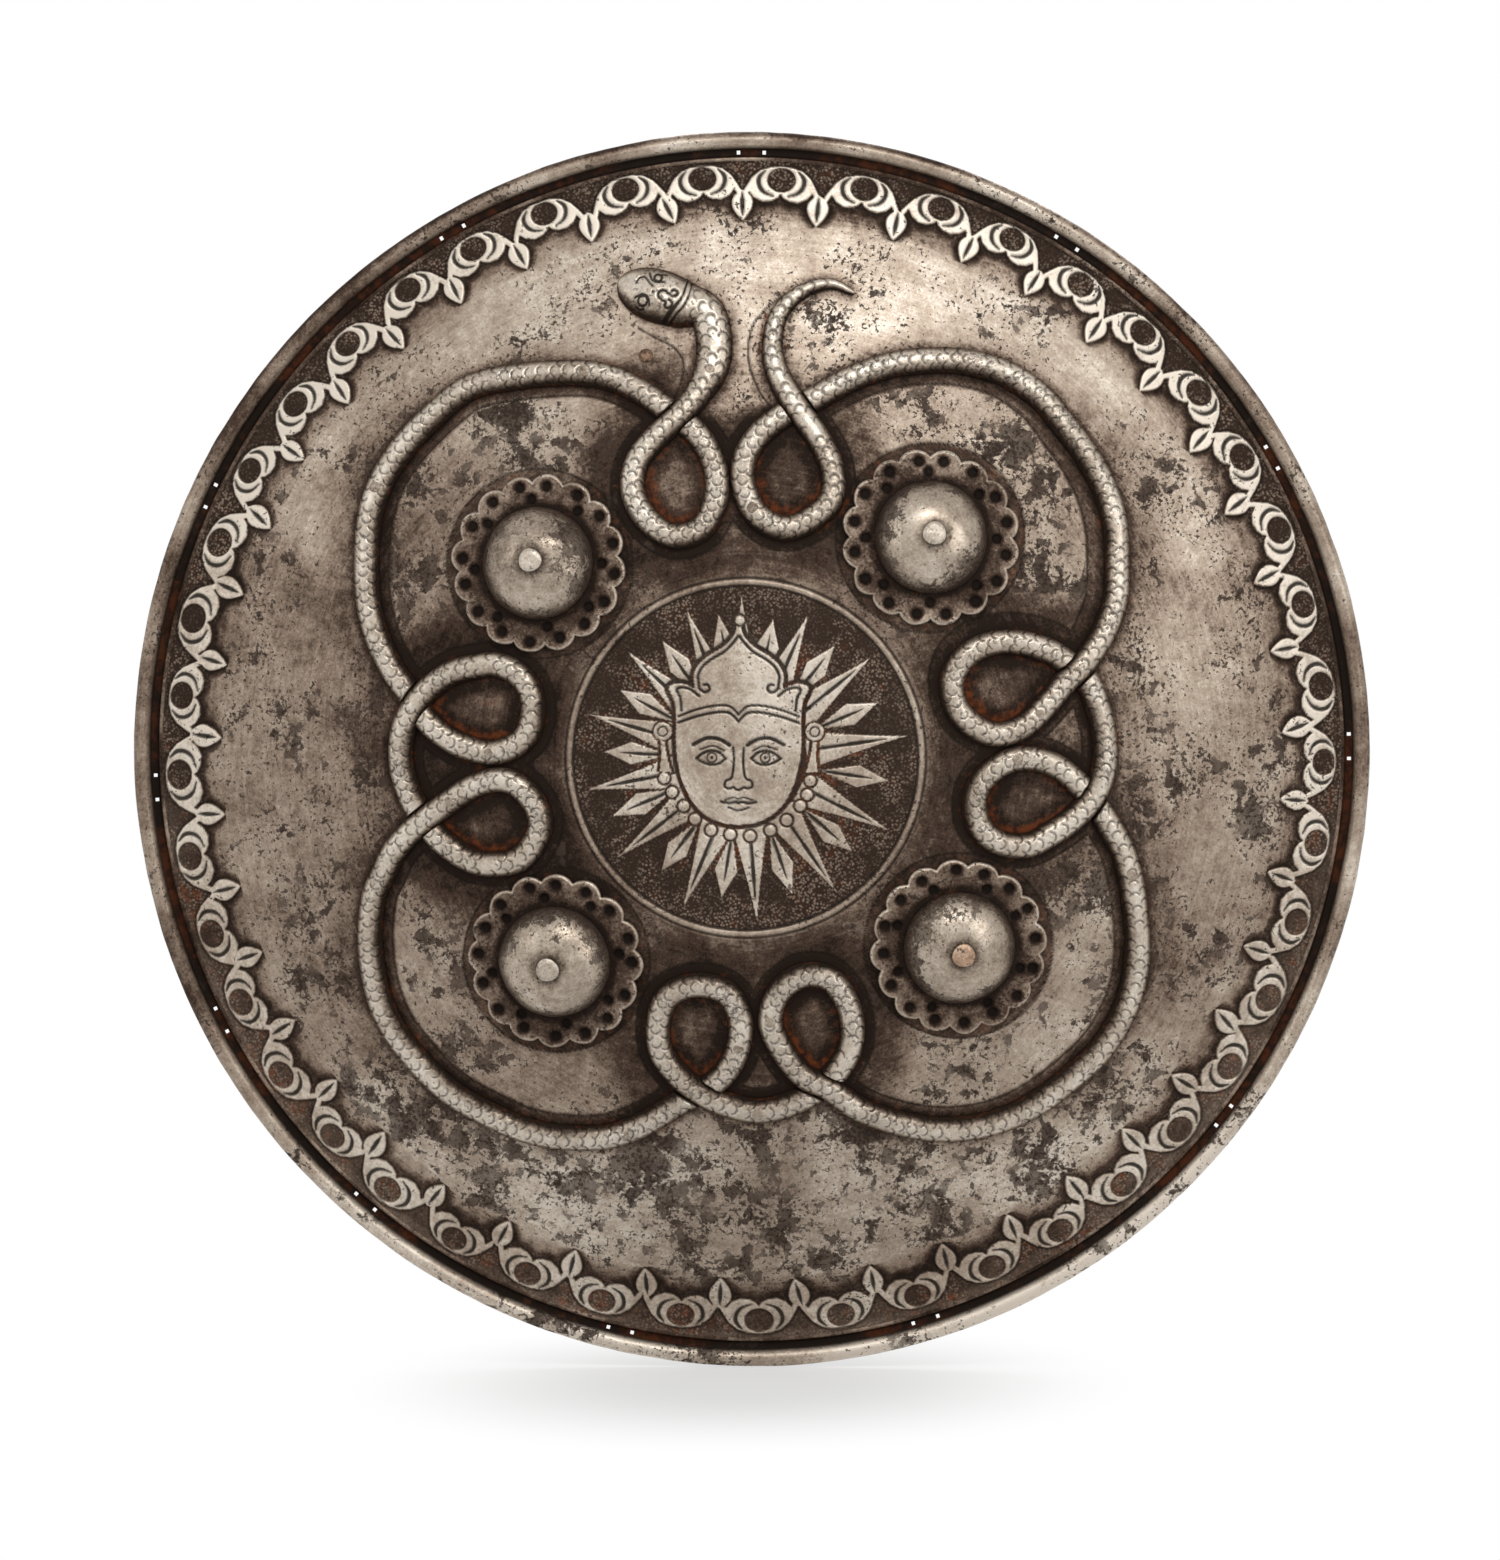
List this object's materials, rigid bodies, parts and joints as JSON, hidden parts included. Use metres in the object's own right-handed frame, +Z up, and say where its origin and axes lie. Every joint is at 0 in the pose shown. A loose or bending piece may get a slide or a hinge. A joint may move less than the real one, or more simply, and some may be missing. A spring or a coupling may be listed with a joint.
{
  "type": "dhal shield",
  "caption": "Round domed iron shield with riveted bosses, an applied looping serpent, a carved sun and border, and padded hand grips on swinging rings behind.",
  "frame": {"origin": "where the hand closes round both grips, on the shield's axis", "axes": "+Z up, -Y out of the shield's front, +Y out of its hollow back towards the bearer, +X to the right as seen from the front"},
  "size_m": [0.3998, 0.0725, 0.3998],
  "materials": {
    "plate_iron": "worn, pitted and mottled dark brown",
    "serpent_iron": "worn bright over dark punched scales",
    "boss_iron": "worn bright with dark spots",
    "rosette_iron": "dark brown patina",
    "back_iron": "dark forged iron",
    "copper_rivet": "dull copper",
    "leather": "old dark brown leather"
  },
  "bodies": {
    "shield": {"shield_plate": "plate_iron", "serpent_1_head": "serpent_iron", "serpent_2": "serpent_iron", "serpent_3": "serpent_iron", "serpent_4": "serpent_iron", "serpent_5": "serpent_iron", "serpent_6": "serpent_iron", "serpent_7": "serpent_iron", "serpent_8": "serpent_iron", "serpent_9_tail": "serpent_iron", "serpent_rivet_01": "serpent_iron", "serpent_rivet_02": "serpent_iron", "serpent_rivet_03": "serpent_iron", "serpent_rivet_04": "serpent_iron", "serpent_rivet_05": "serpent_iron", "serpent_rivet_06": "serpent_iron", "serpent_rivet_07": "serpent_iron", "serpent_rivet_08": "serpent_iron", "serpent_rivet_09": "serpent_iron", "serpent_rivet_10": "serpent_iron", "serpent_rivet_11": "serpent_iron", "serpent_rivet_12": "serpent_iron", "serpent_rivet_13": "serpent_iron", "serpent_rivet_14": "serpent_iron", "serpent_rivet_15": "serpent_iron", "serpent_rivet_16": "serpent_iron", "plate_rivet": "copper_rivet", "upper_left_rosette": "rosette_iron", "upper_left_boss_dome": "boss_iron", "upper_left_back_washer": "back_iron", "upper_left_eye_bolt": "boss_iron", "lower_left_rosette": "rosette_iron", "lower_left_boss_dome": "boss_iron", "lower_left_back_washer": "back_iron", "lower_left_eye_bolt": "boss_iron", "upper_right_rosette": "rosette_iron", "upper_right_boss_dome": "boss_iron", "upper_right_back_washer": "back_iron", "upper_right_eye_bolt": "boss_iron", "lower_right_rosette": "rosette_iron", "lower_right_boss_dome": "boss_iron", "lower_right_back_washer": "back_iron", "lower_right_eye_bolt": "boss_iron", "knuckle_pad": "leather"},
    "left_handle": {"upper_left_ring": "back_iron", "lower_left_ring": "back_iron", "left_grip_core": "back_iron", "left_grip_cover": "leather"},
    "right_handle": {"upper_right_ring": "back_iron", "lower_right_ring": "back_iron", "right_grip_core": "back_iron", "right_grip_cover": "leather"}
  },
  "joints": [
    {"name": "left_handle_swing", "type": "hinge", "parent": "shield", "child": "left_handle", "pos_m": [-0.06187, -0.03281, -0.00184], "axis": [-0.0419, 0.0019, 0.9991], "range_deg": [0, 135]},
    {"name": "right_handle_swing", "type": "hinge", "parent": "shield", "child": "right_handle", "pos_m": [0.06155, -0.03254, 0.00476], "axis": [0.0695, -0.0012, -0.9976], "range_deg": [0, 135]}
  ]
}
